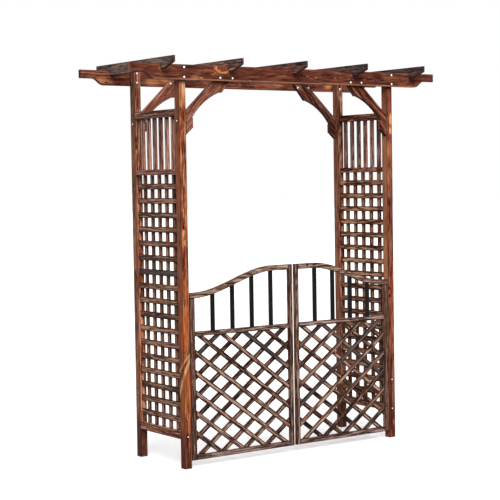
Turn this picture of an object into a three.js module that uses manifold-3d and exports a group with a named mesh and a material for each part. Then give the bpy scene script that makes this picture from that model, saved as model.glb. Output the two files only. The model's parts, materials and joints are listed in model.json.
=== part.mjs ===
// A timber garden arch with a pair of low gates, in millimetres, +Z up.
// X runs along the beams, the gates hang on the front posts at -Y, and the origin is on the
// ground in the middle of the arch.
import * as THREE from "three";
import { mergeVertices } from "three/addons/utils/BufferGeometryUtils.js";
import Module from "manifold-3d";

const wasm = await Module();
wasm.setup();

// The whole arch
const archHeight = 2200; // ground to the rafters' top edges
const archWidth = 1500; // over the posts' outer faces
const archDepth = 500; // over the posts' front and back faces
const joint = 0.3; // the gap between two pieces of timber that are fixed together
const arris = 2; // the eased edge of every board
const outlineSteps = 8; // the straight stretches of a sawn curve
const overrun = 5; // how far a cut runs past the face it starts from

// Posts and beams
const postSize = 44;
const beamThickness = 25;
const beamHeight = 82;
const beamOverhang = 310; // from a post's outer face to the beam's end
const beamEndHeight = 46; // the thin straight end of a beam
const beamEndLength = 70;
const beamOgeeLength = 85; // the curve from the thin end down to the full height

// Rafters
const rafterCount = 5;
const rafterThickness = 14;
const rafterHeight = 63;
const rafterLength = 800;
const rafterStand = 34; // how far a rafter stands above the beams
const rafterOutset = 120; // from a post's outer face to the middle of the outer rafter
const rafterNose = 34; // the upright end above the slanting cut
const rafterTaper = 90; // the length of the slanting cut
const halvingShare = 0.5; // the beam's share of the cut where a rafter crosses it

// Knee braces, measured from the corner between the post and the beam's lower edge
const braceThickness = 25;
const braceReach = 316; // along the beam, to the upper end's inner corner
const braceRise = 36; // up behind the beam
const braceDrop = 290; // down the post, to the tip of the foot
const braceBack = 165; // down the post, to the start of the straight upper edge
const braceBackReach = 217; // along the beam, to the end of the straight upper edge
const braceNose = 236; // the nose at the upper end of the hollow curve, along the beam
const braceNoseDrop = 56;
const braceToe = 42; // the foot's upright face, from the post
const braceToeTop = 200;
const braceToeLength = 50;
const braceHollow = 20; // the depth of the hollow curve between nose and toe
const braceQuirk = 4; // the small step where the curve meets nose and toe

// Side panels
const panelRailHeight = 40;
const panelRailDepth = 32;
const panelMidRailHeight = 30;
const panelDrop = 231; // from the posts' tops down to a panel's top rail
const slatDrop = 321; // from the top rail's upper edge down to the middle rail's
const panelBottomRailTop = 198;
const slatCount = 6;
const slatWidth = 20;
const slatDepth = 18;
const lathThickness = 9;
const lathNip = 0.6; // how far crossing laths are pressed into each other
const panelLevelLathWidth = 32;
const panelUprightLathWidth = 28;
const panelUprightLaths = 5;
const panelLevelLaths = 17;

// Gates
const gateThickness = 20;
const gateSetback = 1; // the leaf's front face behind the posts' front faces
const gateGroundGap = 41;
const gateHingeGap = 3; // between a leaf and its post
const gateMeetingGap = 18; // between the two leaves
const gateHingeEndTop = 948; // the top rail's upper edge beside the post
const gateCrownTop = 1071; // the same edge where the leaves meet
const gateCrownShare = 0.8; // the share of a leaf's width at which the curve has risen
const hingeStileWidth = 32;
const meetingStileWidth = 26;
const gateTopRailDepth = 30;
const gateMidRailTop = 737;
const gateMidRailHeight = 25;
const gateBottomRailHeight = 28;
const balusterCount = 4;
const balusterSize = 19;
const gateLathWidth = 25;
const gateLathPitchAcross = 148; // between crossings, level
const gateLathPitchUp = 110; // between crossings, upright
const shortestGateLath = 60; // a corner too small for a lath of this length has none

// Hinges, on the backs of the leaves
const hingeInset = 110; // from a leaf's lower or upper end to the middle of a hinge
const hingeHeight = 72;
const hingePlate = 2;
const hingePostPlate = 12; // the width of the plate on the post
const hingeGatePlate = 24; // the width of the plate on the leaf
const knuckleRadius = 4.5;
const knuckleBore = 2.8;
const hingePin = 2.4;
const knuckleGap = 0.5;
const knuckleShare = 1 / 3; // the middle knuckle's share of a hinge's height
const knuckleSides = 12;

// Bolts through beam and post
const boltInset = 15; // from the beam's upper or lower edge
const boltRadius = 3;
const boltClearance = 0.4;
const boltHeadRadius = 6.4;
const boltHeadHeight = 3.5;
const washerRadius = 7;
const washerThickness = 1.5;
const nutRadius = 5.5;
const nutHeight = 5;
const boltEnd = 3; // the thread that shows past the nut
const boltSides = 12;
const nutSides = 6;
const domeSteps = 4;

// Places that follow from the sizes above
const beamTop = archHeight - rafterStand;
const beamBottom = beamTop - beamHeight;
const halvingDepth = rafterHeight - rafterStand;
const postX = (archWidth - postSize) / 2;
const postY = (archDepth - postSize) / 2;
const openingHalf = archWidth / 2 - postSize; // half the clear width between the posts
const bayHalf = archDepth / 2 - postSize; // half the clear depth between front and back posts
const panelTopRailTop = beamTop - panelDrop;
const panelMidRailTop = panelTopRailTop - slatDrop;
const beamHalf = archWidth / 2 + beamOverhang;
const gateFront = -archDepth / 2 + gateSetback;
const gateBack = gateFront + gateThickness;
const leafWidth = openingHalf - gateHingeGap - gateMeetingGap / 2;
const hingeAxisX = openingHalf - knuckleRadius - knuckleGap;
const hingeAxisY = gateBack + knuckleRadius + knuckleGap;

// Timber and metal finishes
const finishes = {
  post: [0x9a5326, 0.72, 0],
  beam: [0x6e3a26, 0.72, 0],
  rafter: [0x4b3f3c, 0.78, 0],
  brace: [0x7a4530, 0.72, 0],
  panel: [0x704434, 0.76, 0],
  gate: [0x6f4a38, 0.78, 0],
  baluster: [0x2a2624, 0.7, 0],
  steel: [0xc9ccd0, 0.35, 0.9],
};

function finish(name) {
  const [color, roughness, metalness] = finishes[name];
  return new THREE.MeshStandardMaterial({ color, roughness, metalness });
}

// A closed geometry as a solid, and back again.
function solid(geometry) {
  const bare = geometry.clone();
  bare.deleteAttribute("normal");
  bare.deleteAttribute("uv");
  const merged = mergeVertices(bare);
  return new wasm.Manifold(
    new wasm.Mesh({
      numProp: 3,
      vertProperties: merged.attributes.position.array,
      triVerts: new Uint32Array(merged.index.array),
    }),
  );
}

function geometryOf(body) {
  const mesh = body.getMesh();
  const geometry = new THREE.BufferGeometry();
  geometry.setAttribute("position", new THREE.BufferAttribute(mesh.vertProperties, 3));
  geometry.setIndex(new THREE.BufferAttribute(mesh.triVerts, 1));
  return geometry;
}

// A plain block between two corners.
function block([x0, y0, z0], [x1, y1, z1]) {
  const geometry = new THREE.BoxGeometry(x1 - x0, y1 - y0, z1 - z0);
  return geometry.translate((x0 + x1) / 2, (y0 + y1) / 2, (z0 + z1) / 2);
}

// An outline in X and Z, sawn from a board that lies between two Y values, with eased edges.
function sawn(points, yFront, yBack, ease = arris) {
  const shape = new THREE.Shape(points);
  const geometry = new THREE.ExtrudeGeometry(shape, {
    depth: yBack - yFront - 2 * ease,
    bevelEnabled: ease > 0,
    bevelThickness: ease,
    bevelSize: ease,
    bevelOffset: -ease,
    bevelSegments: 1,
  });
  return geometry.rotateX(Math.PI / 2).translate(0, yBack - ease, 0);
}

// A square-ended board along Z with its four long edges eased.
function upright([x0, y0, z0], [x1, y1, z1]) {
  const shape = new THREE.Shape([
    new THREE.Vector2(x0 + arris, y0),
    new THREE.Vector2(x1 - arris, y0),
    new THREE.Vector2(x1, y0 + arris),
    new THREE.Vector2(x1, y1 - arris),
    new THREE.Vector2(x1 - arris, y1),
    new THREE.Vector2(x0 + arris, y1),
    new THREE.Vector2(x0, y1 - arris),
    new THREE.Vector2(x0, y0 + arris),
  ]);
  return new THREE.ExtrudeGeometry(shape, { depth: z1 - z0, bevelEnabled: false }).translate(0, 0, z0);
}

// A round bar along Y.
function barY(radius, x, z, y0, y1) {
  const geometry = new THREE.CylinderGeometry(radius, radius, y1 - y0, boltSides);
  return geometry.translate(x, (y0 + y1) / 2, z);
}

const arch = new THREE.Group();
arch.name = "garden_arch";

function add(name, shape, finishName) {
  const geometry = shape instanceof THREE.BufferGeometry ? shape : geometryOf(shape);
  const mesh = new THREE.Mesh(geometry, finish(finishName));
  mesh.name = name;
  arch.add(mesh);
}

const sides = [
  ["left", -1],
  ["right", 1],
];
const ends = [
  ["front", -1],
  ["back", 1],
];
const boltHeights = [
  ["upper", beamTop - boltInset],
  ["lower", beamBottom + boltInset],
];

// A square post with the two bolt holes near its top.
function post(side, end) {
  const x = side * postX;
  const y = end * postY;
  const half = postSize / 2;
  let body = solid(upright([x - half, y - half, 0], [x + half, y + half, beamTop]));
  for (const [, z] of boltHeights) {
    const hole = barY(boltRadius + boltClearance, x, z, y - half - overrun, y + half + overrun);
    body = body.subtract(solid(hole));
  }
  return body;
}

// The beam's outline: a straight top, and at both ends a thin nose that swells in an ogee.
function beamOutline() {
  const noseBottom = beamTop - beamEndHeight;
  const ogeeStart = beamHalf - beamEndLength;
  const ogeeEnd = ogeeStart - beamOgeeLength;
  const swell = new THREE.CubicBezierCurve(
    new THREE.Vector2(ogeeStart, noseBottom),
    new THREE.Vector2((ogeeStart + ogeeEnd) / 2, noseBottom),
    new THREE.Vector2((ogeeStart + ogeeEnd) / 2, beamBottom),
    new THREE.Vector2(ogeeEnd, beamBottom),
  );
  const right = [
    new THREE.Vector2(beamHalf, beamTop),
    new THREE.Vector2(beamHalf, noseBottom),
    ...swell.getPoints(outlineSteps),
  ];
  const left = right.map((p) => new THREE.Vector2(-p.x, p.y)).reverse();
  return [...right, ...left].reverse();
}

function rafterX(i) {
  const first = -archWidth / 2 - rafterOutset;
  return first + (i * -2 * first) / (rafterCount - 1);
}

// A beam, slotted from above for the rafters and bored for the bolts.
function beam(end) {
  const near = archDepth / 2 + joint;
  const faces = [end * near, end * (near + beamThickness)].sort((a, b) => a - b);
  let body = solid(sawn(beamOutline(), ...faces));
  const slotBottom = beamTop - halvingDepth * halvingShare;
  const slotHalf = rafterThickness / 2 + joint;
  for (let i = 0; i < rafterCount; i++) {
    const low = [rafterX(i) - slotHalf, faces[0] - overrun, slotBottom];
    const high = [rafterX(i) + slotHalf, faces[1] + overrun, beamTop + overrun];
    body = body.subtract(solid(block(low, high)));
  }
  for (const [, side] of sides) {
    for (const [, z] of boltHeights) {
      const hole = barY(
        boltRadius + boltClearance, side * postX, z, faces[0] - overrun, faces[1] + overrun,
      );
      body = body.subtract(solid(hole));
    }
  }
  return body;
}

// A rafter on edge, its ends cut away below a short nose and its lower edge halved over the beams.
function rafter(i) {
  const half = rafterLength / 2;
  const bottom = archHeight - rafterHeight;
  const outline = [
    new THREE.Vector2(-half + rafterTaper, bottom),
    new THREE.Vector2(half - rafterTaper, bottom),
    new THREE.Vector2(half, archHeight - rafterNose),
    new THREE.Vector2(half, archHeight),
    new THREE.Vector2(-half, archHeight),
    new THREE.Vector2(-half, archHeight - rafterNose),
  ];
  const t = rafterThickness / 2;
  const board = sawn(outline, -t, t).rotateZ(Math.PI / 2).translate(rafterX(i), 0, 0);
  let body = solid(board);
  const notchTop = bottom + halvingDepth * (1 - halvingShare) + joint;
  for (const [, end] of ends) {
    const near = archDepth / 2;
    const span = [end * near, end * (near + beamThickness + 2 * joint)].sort((a, b) => a - b);
    const low = [rafterX(i) - rafterThickness, span[0], bottom - overrun];
    const high = [rafterX(i) + rafterThickness, span[1], notchTop];
    body = body.subtract(solid(block(low, high)));
  }
  return body;
}

// The brace's outline for the right-hand side; x is the distance from the post's inner face.
function braceOutline(side) {
  const nose = new THREE.Vector2(braceNose - braceQuirk, -braceNoseDrop);
  const toe = new THREE.Vector2(braceToe, -braceToeTop + braceQuirk);
  const chord = nose.clone().sub(toe);
  const inward = new THREE.Vector2(-chord.y, chord.x).normalize();
  const middle = nose.clone().add(toe).multiplyScalar(0.5);
  const control = middle.addScaledVector(inward, 2 * braceHollow);
  const hollow = new THREE.QuadraticBezierCurve(nose, control, toe).getPoints(outlineSteps);
  const points = [
    new THREE.Vector2(joint, -braceBack),
    new THREE.Vector2(joint, -braceDrop),
    new THREE.Vector2(braceToe + braceQuirk, -braceToeTop - braceToeLength),
    new THREE.Vector2(braceToe + braceQuirk, -braceToeTop),
    ...hollow.reverse(),
    new THREE.Vector2(braceNose, -braceNoseDrop - braceQuirk),
    new THREE.Vector2(braceReach, braceRise),
    new THREE.Vector2(braceBackReach, braceRise),
  ];
  const placed = points.map((p) => new THREE.Vector2(side * (openingHalf - p.x), beamBottom + p.y));
  return side > 0 ? placed.reverse() : placed;
}

// A knee brace behind the beam, against the post's inner face.
function brace(side, end) {
  const near = archDepth / 2;
  const faces = [end * (near - braceThickness), end * near].sort((a, b) => a - b);
  return sawn(braceOutline(side), ...faces);
}

// The places of count pieces of one width with equal gaps between two ends.
function evenly(count, width, low, high) {
  const gap = (high - low - count * width) / (count + 1);
  return Array.from({ length: count }, (_, i) => low + gap * (i + 1) + width * (i + 0.5));
}

// A panel rail between the front and back posts, flush with their outer faces.
function panelRail(side, top, height) {
  const outer = (side * archWidth) / 2;
  const inner = outer - side * panelRailDepth;
  const reach = bayHalf - joint;
  return block(
    [Math.min(outer, inner), -reach, top - height],
    [Math.max(outer, inner), reach, top],
  );
}

// The middle rail with the upright slats that stand in it.
function slatComb(side) {
  let body = solid(panelRail(side, panelMidRailTop, panelMidRailHeight));
  const slatTop = panelTopRailTop - panelRailHeight - joint;
  const middleOfPost = side * postX;
  for (const y of evenly(slatCount, slatWidth, -bayHalf, bayHalf)) {
    const low = [middleOfPost - slatDepth / 2, y - slatWidth / 2, panelMidRailTop - panelMidRailHeight / 2];
    const high = [middleOfPost + slatDepth / 2, y + slatWidth / 2, slatTop];
    body = body.add(solid(block(low, high)));
  }
  return body;
}

// The square lattice of a side panel. Both are made alike, with the level laths on the left face.
function panelLattice(side) {
  const top = panelMidRailTop - panelMidRailHeight - joint;
  const bottom = panelBottomRailTop + joint;
  const seam = side * postX;
  const levelFaces = [seam - lathThickness, seam];
  const uprightFaces = [seam - lathNip, seam + lathThickness];
  const reach = bayHalf - joint;
  const level = panelLevelLathWidth;
  const upright = panelUprightLathWidth;
  const laths = [];
  for (const z of evenly(panelLevelLaths, level, bottom, top)) {
    laths.push(block([levelFaces[0], -reach, z - level / 2], [levelFaces[1], reach, z + level / 2]));
  }
  for (const y of evenly(panelUprightLaths, upright, -bayHalf, bayHalf)) {
    laths.push(block([uprightFaces[0], y - upright / 2, bottom], [uprightFaces[1], y + upright / 2, top]));
  }
  return laths.map(solid).reduce((whole, lath) => whole.add(lath));
}

// A leaf is drawn for the left-hand gate, with u across the leaf from its hinge edge.
const leafBottom = gateGroundGap;
const fieldLeft = hingeStileWidth + joint;
const fieldRight = leafWidth - meetingStileWidth - joint;
const fieldTop = gateMidRailTop - gateMidRailHeight - joint;
const fieldBottom = leafBottom + gateBottomRailHeight + joint;

// The height of the top rail's upper edge: level over the hinge stile, then one smooth rise.
function topEdge(u) {
  const crown = leafWidth * gateCrownShare;
  const t = THREE.MathUtils.smoothstep(u, hingeStileWidth, crown);
  return gateHingeEndTop + (gateCrownTop - gateHingeEndTop) * t;
}

// The lower edge keeps the rail's depth square to the curve.
function lowerEdge(u) {
  const step = hingeStileWidth / 4;
  const slope = (topEdge(u + step) - topEdge(u - step)) / (2 * step);
  return topEdge(u) - gateTopRailDepth * Math.hypot(1, slope);
}

const curveSteps = 2 * outlineSteps;

function curvePoints(edge, u0, u1) {
  return Array.from({ length: curveSteps + 1 }, (_, i) => {
    const u = u0 + ((u1 - u0) * i) / curveSteps;
    return new THREE.Vector2(u, edge(u));
  });
}

// A leaf's pieces lie at the left post, or are mirrored to the right one.
function hang(points, side) {
  const placed = points.map((p) => new THREE.Vector2(side * (openingHalf - gateHingeGap - p.x), p.y));
  return side > 0 ? placed.reverse() : placed;
}

function rectangle(u0, z0, u1, z1) {
  return [
    new THREE.Vector2(u0, z0),
    new THREE.Vector2(u1, z0),
    new THREE.Vector2(u1, z1),
    new THREE.Vector2(u0, z1),
  ];
}

function leafBoard(points, side) {
  return sawn(hang(points, side), gateFront, gateBack);
}

function gateTopRail(side) {
  const u1 = fieldRight;
  const points = [...curvePoints(lowerEdge, 0, u1), ...curvePoints(topEdge, 0, u1).reverse()];
  return leafBoard(points, side);
}

// A thin upright bar between the middle rail and the curved rail, cut to the curve.
function baluster(u, side) {
  const half = balusterSize / 2;
  const foot = gateMidRailTop + joint;
  const top = [u + half, u, u - half].map((v) => new THREE.Vector2(v, lowerEdge(v) - joint));
  const points = [new THREE.Vector2(u - half, foot), new THREE.Vector2(u + half, foot), ...top];
  const front = (gateFront + gateBack - balusterSize) / 2;
  return sawn(hang(points, side), front, front + balusterSize, 0);
}

// The level of each crossing on the upright middle line of the lattice field.
function crossingLevels() {
  const middle = (fieldTop + fieldBottom) / 2;
  const rise = ((fieldRight - fieldLeft) / 2) * (gateLathPitchUp / gateLathPitchAcross);
  const slant = Math.hypot(gateLathPitchAcross, gateLathPitchUp) / gateLathPitchUp;
  const reach = (fieldTop - fieldBottom) / 2 + rise - shortestGateLath / slant;
  const each = Math.floor(reach / gateLathPitchUp);
  return Array.from({ length: 2 * each + 1 }, (_, i) => middle + (i - each) * gateLathPitchUp);
}

// The slanting lattice of a leaf: falling laths in front on the left leaf, mirrored on the right.
function gateLattice(side) {
  const slope = Math.atan2(gateLathPitchUp, gateLathPitchAcross);
  const diagonal = Math.hypot(fieldRight - fieldLeft, fieldTop - fieldBottom);
  const lathLength = diagonal + 2 * gateLathWidth;
  const seam = (gateFront + gateBack) / 2;
  const layers = [
    [1, seam - lathThickness, seam + lathNip],
    [-1, seam, seam + lathThickness],
  ];
  const middleX = side * (openingHalf - gateHingeGap - (fieldLeft + fieldRight) / 2);
  const laths = [];
  for (const [fall, y0, y1] of layers) {
    for (const level of crossingLevels()) {
      const lath = new THREE.BoxGeometry(lathLength, y1 - y0, gateLathWidth).rotateY(-side * fall * slope);
      laths.push(solid(lath.translate(middleX, (y0 + y1) / 2, level)));
    }
  }
  const field = hang(rectangle(fieldLeft, fieldBottom, fieldRight, fieldTop), side);
  const trim = solid(sawn(field, gateFront, gateBack, 0));
  return laths.reduce((whole, lath) => whole.add(lath)).intersect(trim);
}

// A ring of a hinge's barrel, and the pin that fills it.
function barrel(radius, side, z0, z1) {
  const shape = new THREE.CylinderGeometry(radius, radius, z1 - z0, knuckleSides);
  return solid(shape.rotateX(Math.PI / 2).translate(side * hingeAxisX, hingeAxisY, (z0 + z1) / 2));
}

function hingeBlock(side, u0, u1, y0, y1, z0, z1) {
  const x = [side * u0, side * u1].sort((a, b) => a - b);
  return solid(block([x[0], y0, z0], [x[1], y1, z1]));
}

// The levels between a hinge's lower, middle and upper knuckles.
function hingeLevels(z) {
  const half = hingeHeight / 2;
  const knuckle = half * knuckleShare;
  return [z - half, z - knuckle, z + knuckle, z + half];
}

// The half on the post: a plate on the post's inner face, two knuckles and the pin.
function hingePostHalf(side, z) {
  const [low, midLow, midHigh, high] = hingeLevels(z);
  const face = openingHalf - joint;
  const clear = hingeAxisY + knuckleRadius + knuckleGap;
  const plateEnd = hingeAxisY + hingePostPlate;
  let body = hingeBlock(side, face - hingePlate, face, clear, plateEnd, low, high);
  for (const [z0, z1] of [[low, midLow - knuckleGap], [midHigh + knuckleGap, high]]) {
    body = body.add(hingeBlock(side, face - hingePlate, face, hingeAxisY, clear + hingePlate, z0, z1));
    body = body.add(barrel(knuckleRadius, side, z0, z1));
  }
  return body.add(barrel(hingePin, side, low, high));
}

// The half on the leaf: a plate on the leaf's back face and the middle knuckle.
function hingeGateHalf(side, z) {
  const [low, midLow, midHigh, high] = hingeLevels(z);
  const face = gateBack + joint;
  const clear = hingeAxisX - knuckleRadius - knuckleGap;
  const plateEnd = hingeAxisX - hingeGatePlate;
  let body = hingeBlock(side, plateEnd, clear, face, face + hingePlate, low, high);
  body = body.add(
    hingeBlock(side, clear - hingePlate, hingeAxisX, face, face + hingePlate, midLow, midHigh),
  );
  body = body.add(barrel(knuckleRadius, side, midLow, midHigh));
  return body.subtract(barrel(knuckleBore, side, low - overrun, high + overrun));
}

// A bolt from the beam's outer face to a washer and nut on the post's far face.
function bolt(side, end, z) {
  const headFace = archDepth / 2 + beamThickness + 2 * joint;
  const nutFace = bayHalf - joint;
  const tip = nutFace - washerThickness - nutHeight - boltEnd;
  const dome = new THREE.EllipseCurve(0, headFace, boltHeadRadius, boltHeadHeight, 0, Math.PI / 2);
  const profile = [
    new THREE.Vector2(0, tip),
    new THREE.Vector2(boltRadius, tip),
    new THREE.Vector2(boltRadius, nutFace - washerThickness),
    new THREE.Vector2(washerRadius, nutFace - washerThickness),
    new THREE.Vector2(washerRadius, nutFace),
    new THREE.Vector2(boltRadius, nutFace),
    new THREE.Vector2(boltRadius, headFace),
    ...dome.getPoints(domeSteps).slice(0, -1),
    new THREE.Vector2(0, headFace + boltHeadHeight),
  ];
  const nut = new THREE.CylinderGeometry(nutRadius, nutRadius, nutHeight + joint, nutSides);
  nut.translate(0, nutFace - washerThickness - nutHeight / 2 + joint / 2, 0);
  const lathed = solid(new THREE.LatheGeometry(profile, boltSides)).add(solid(nut));
  const geometry = geometryOf(lathed);
  if (end < 0) geometry.rotateZ(Math.PI);
  return geometry.translate(side * postX, 0, z);
}

for (const [sideName, side] of sides) {
  for (const [endName, end] of ends) {
    add(`${endName}_${sideName}_post`, post(side, end), "post");
    add(`${endName}_${sideName}_brace`, brace(side, end), "brace");
    for (const [levelName, z] of boltHeights) {
      add(`${endName}_${sideName}_${levelName}_bolt`, bolt(side, end, z), "steel");
    }
  }
}

for (const [endName, end] of ends) add(`${endName}_beam`, beam(end), "beam");

for (let i = 0; i < rafterCount; i++) add(`rafter_${i + 1}`, rafter(i), "rafter");

for (const [sideName, side] of sides) {
  const rail = (top) => panelRail(side, top, panelRailHeight);
  add(`${sideName}_panel_top_rail`, rail(panelTopRailTop), "panel");
  add(`${sideName}_panel_slats`, slatComb(side), "panel");
  add(`${sideName}_panel_lattice`, panelLattice(side), "panel");
  add(`${sideName}_panel_bottom_rail`, rail(panelBottomRailTop), "panel");
}

for (const [sideName, side] of sides) {
  const name = (piece) => `${sideName}_gate_${piece}`;
  const stileTop = lowerEdge(0) - joint;
  const hingeStile = rectangle(0, leafBottom, hingeStileWidth, stileTop);
  const meetingStile = rectangle(leafWidth - meetingStileWidth, leafBottom, leafWidth, gateCrownTop);
  const midRail = rectangle(fieldLeft, gateMidRailTop - gateMidRailHeight, fieldRight, gateMidRailTop);
  const bottomRail = rectangle(fieldLeft, leafBottom, fieldRight, leafBottom + gateBottomRailHeight);
  add(name("hinge_stile"), leafBoard(hingeStile, side), "gate");
  add(name("meeting_stile"), leafBoard(meetingStile, side), "gate");
  add(name("top_rail"), gateTopRail(side), "gate");
  add(name("mid_rail"), leafBoard(midRail, side), "gate");
  add(name("bottom_rail"), leafBoard(bottomRail, side), "gate");
  evenly(balusterCount, balusterSize, hingeStileWidth, leafWidth - meetingStileWidth).forEach((u, i) => {
    add(name(`baluster_${i + 1}`), baluster(u, side), "baluster");
  });
  add(name("lattice"), gateLattice(side), "gate");
  const hingeLevel = { lower: leafBottom + hingeInset, upper: gateHingeEndTop - hingeInset };
  for (const [levelName, z] of Object.entries(hingeLevel)) {
    add(name(`${levelName}_hinge_post_half`), hingePostHalf(side, z), "steel");
    add(name(`${levelName}_hinge_gate_half`), hingeGateHalf(side, z), "steel");
  }
}

export default arch;
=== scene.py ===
import json
import math

import bpy
import numpy as np
from mathutils import Matrix, Vector


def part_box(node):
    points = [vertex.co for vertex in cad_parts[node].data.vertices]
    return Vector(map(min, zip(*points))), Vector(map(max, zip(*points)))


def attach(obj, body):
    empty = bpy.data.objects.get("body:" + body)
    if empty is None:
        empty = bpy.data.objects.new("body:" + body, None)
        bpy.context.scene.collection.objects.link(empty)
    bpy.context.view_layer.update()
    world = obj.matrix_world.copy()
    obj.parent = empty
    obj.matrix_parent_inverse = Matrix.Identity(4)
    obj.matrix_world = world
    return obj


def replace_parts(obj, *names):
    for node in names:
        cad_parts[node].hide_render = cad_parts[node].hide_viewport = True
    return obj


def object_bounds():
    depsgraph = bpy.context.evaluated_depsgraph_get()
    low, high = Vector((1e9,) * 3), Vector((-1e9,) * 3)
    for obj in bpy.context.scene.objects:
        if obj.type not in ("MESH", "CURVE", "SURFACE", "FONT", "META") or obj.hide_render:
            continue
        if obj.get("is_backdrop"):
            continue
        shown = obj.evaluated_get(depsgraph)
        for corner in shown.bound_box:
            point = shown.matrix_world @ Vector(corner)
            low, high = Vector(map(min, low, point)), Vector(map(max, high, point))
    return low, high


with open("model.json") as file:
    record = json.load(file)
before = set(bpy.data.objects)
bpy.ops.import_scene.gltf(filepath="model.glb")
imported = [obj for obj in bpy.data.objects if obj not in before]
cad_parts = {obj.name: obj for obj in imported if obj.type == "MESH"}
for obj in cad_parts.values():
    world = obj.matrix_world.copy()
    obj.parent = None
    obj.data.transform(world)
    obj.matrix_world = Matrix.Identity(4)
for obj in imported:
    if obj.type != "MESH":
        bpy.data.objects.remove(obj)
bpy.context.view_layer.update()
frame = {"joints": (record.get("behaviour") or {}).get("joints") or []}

# Posts: four square fir posts that stand on their square-cut ends. The planed wood is scorched and
# brushed, then oiled orange-brown, so that the late wood of each ring stays dark. They carry the
# beams, braces, side panels and gates.

draws = np.random.default_rng(2166)
arris_steps, rubbed_width, crease = 4, 0.005, math.radians(20)
trunk_length, nearest_pith, farthest_pith = 30, 0.03, 0.09


def inset(outline, depth):
    """Each corner of a closed outline moves inwards along its mitre, depth from both its edges."""
    edges = [outline - np.roll(outline, 1, 0), np.roll(outline, -1, 0) - outline]
    edges = [e / np.linalg.norm(e, axis=1, keepdims=True) for e in edges]
    before, after = [np.stack([-e[:, 1], e[:, 0]], 1) for e in edges]
    cosine = (before * after).sum(1, keepdims=True)
    return outline + depth * (before + after) / (1 + cosine)


def closed(points, flipped, grain, edge, tone):
    """A surface over a stack of rings: each ring is joined to the next, and the first and the last
    are capped. Its faces turn the other way round if flipped. Every point has the values that the
    material reads."""
    rings, count = points.shape[:2]
    ring, corner = np.mgrid[: rings - 1, :count]
    here, following = ring * count + corner, ring * count + (corner + 1) % count
    quads = np.stack([here, here + count, following + count, following], -1).reshape(-1, 4)
    caps = [np.arange(count), (rings - 1) * count + np.arange(count)[::-1]]
    faces = quads.tolist() + [c.tolist() for c in caps]
    return {
        "points": points.reshape(-1, 3), "faces": [f[::-1] for f in faces] if flipped else faces,
        "grain": grain.reshape(-1, 3), "edge": edge.ravel(), "tone": np.full(edge.size, tone),
    }


def board(outline, low, high, along, arris, plane="xz", tone=0.5, margin=None):
    """A sawn board. The anticlockwise outline is carried from low to high through the board.
    Near each face it is drawn in by arris * (1 - sin a) at a depth of arris * (1 - cos a), for a
    from nought to a quarter turn. Another ring lies a rubbed width beyond the rounding on each
    face, where the edge value has fallen from one to nought. The grain coordinates are lengths
    along, across and through the board, measured from a pith that lies off to one side of it.
    A board too thin for a rubbed width can still have one as wide as the margin on its faces."""
    outline = np.asarray(outline, float)
    rim = min(rubbed_width, (high - low) / 2 - arris * 1.2)
    turn = np.linspace(0, math.pi / 2, arris_steps + 1)
    drawn_in = np.array([arris + (margin or rim), *arris * (1 - np.sin(turn)), 0])
    sunk = np.array([0, *arris * (1 - np.cos(turn)), arris + rim])
    rings = np.stack([inset(outline, d) for d in (*drawn_in, *drawn_in[::-1])])
    depth = np.concatenate([low + sunk, high - sunk[::-1]])
    depth = np.repeat(depth[:, None], len(outline), 1)
    points = [rings[..., 0], depth, rings[..., 1]]
    if plane == "yz":
        points[:2] = depth, rings[..., 0]
    along = np.asarray(along, float) / np.linalg.norm(along)
    across = np.array([-along[1], along[0]])
    side, far = draws.uniform(0, 2 * math.pi), draws.uniform(nearest_pith, farthest_pith)
    grain = np.stack([
        rings @ along + draws.uniform(0, trunk_length),
        (rings - outline.mean(0)) @ across + far * math.cos(side),
        depth - (low + high) / 2 + far * math.sin(side),
    ], -1)
    edge = np.ones(depth.shape)
    edge[[0, arris_steps + 2, arris_steps + 3, -1]] = 0
    return closed(np.stack(points, -1), plane == "yz", grain, edge, tone)


def shown(name, data):
    """The mesh, lamp or camera as an object in the scene."""
    piece = bpy.data.objects.new(name, data)
    bpy.context.scene.collection.objects.link(piece)
    return piece


def add(name, parts, finish, body="arch"):
    """The parts of one piece as a single mesh, which moves with its body."""
    starts = np.cumsum([0] + [len(p["points"]) for p in parts])
    points = np.concatenate([p["points"] for p in parts])
    faces = [[i + s for i in f] for p, s in zip(parts, starts.tolist()) for f in p["faces"]]
    mesh = bpy.data.meshes.new(name)
    mesh.from_pydata(points.tolist(), [], faces)
    for key in ("grain", "edge", "tone"):
        kind, field = ("FLOAT_VECTOR", "vector") if key == "grain" else ("FLOAT", "value")
        values = np.concatenate([p[key] for p in parts]).astype(np.float32)
        mesh.attributes.new(key, kind, "POINT").data.foreach_set(field, values.ravel())
    mesh.polygons.foreach_set("use_smooth", [True] * len(mesh.polygons))
    mesh.set_sharp_from_angle(angle=crease)
    mesh.materials.append(finish)
    piece = shown(name, mesh)
    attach(piece, body)
    return piece


def fit(node, parts, finish, slot, body="arch"):
    """The parts as a piece that stands for the node."""
    stuff = "steel" if slot == "steel" else "timber"
    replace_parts(add(f"{node}_{stuff}", parts, finish, body), node)


def rectangle(u0, v0, u1, v1):
    """Its four corners, anticlockwise from (u0, v0) to (u0, v1)."""
    return np.array([(u0, v0), (u1, v0), (u1, v1), (u0, v1)])


def bar(low, high, along, arris, plane="xz", tone=0.5):
    """A straight board that fills the box from low to high."""
    (u0, w0, v0), (u1, w1, v1) = (low, high) if plane == "xz" else (low.yxz, high.yxz)
    return board(rectangle(u0, v0, u1, v1), w0, w1, along, arris, plane, tone)


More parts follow.
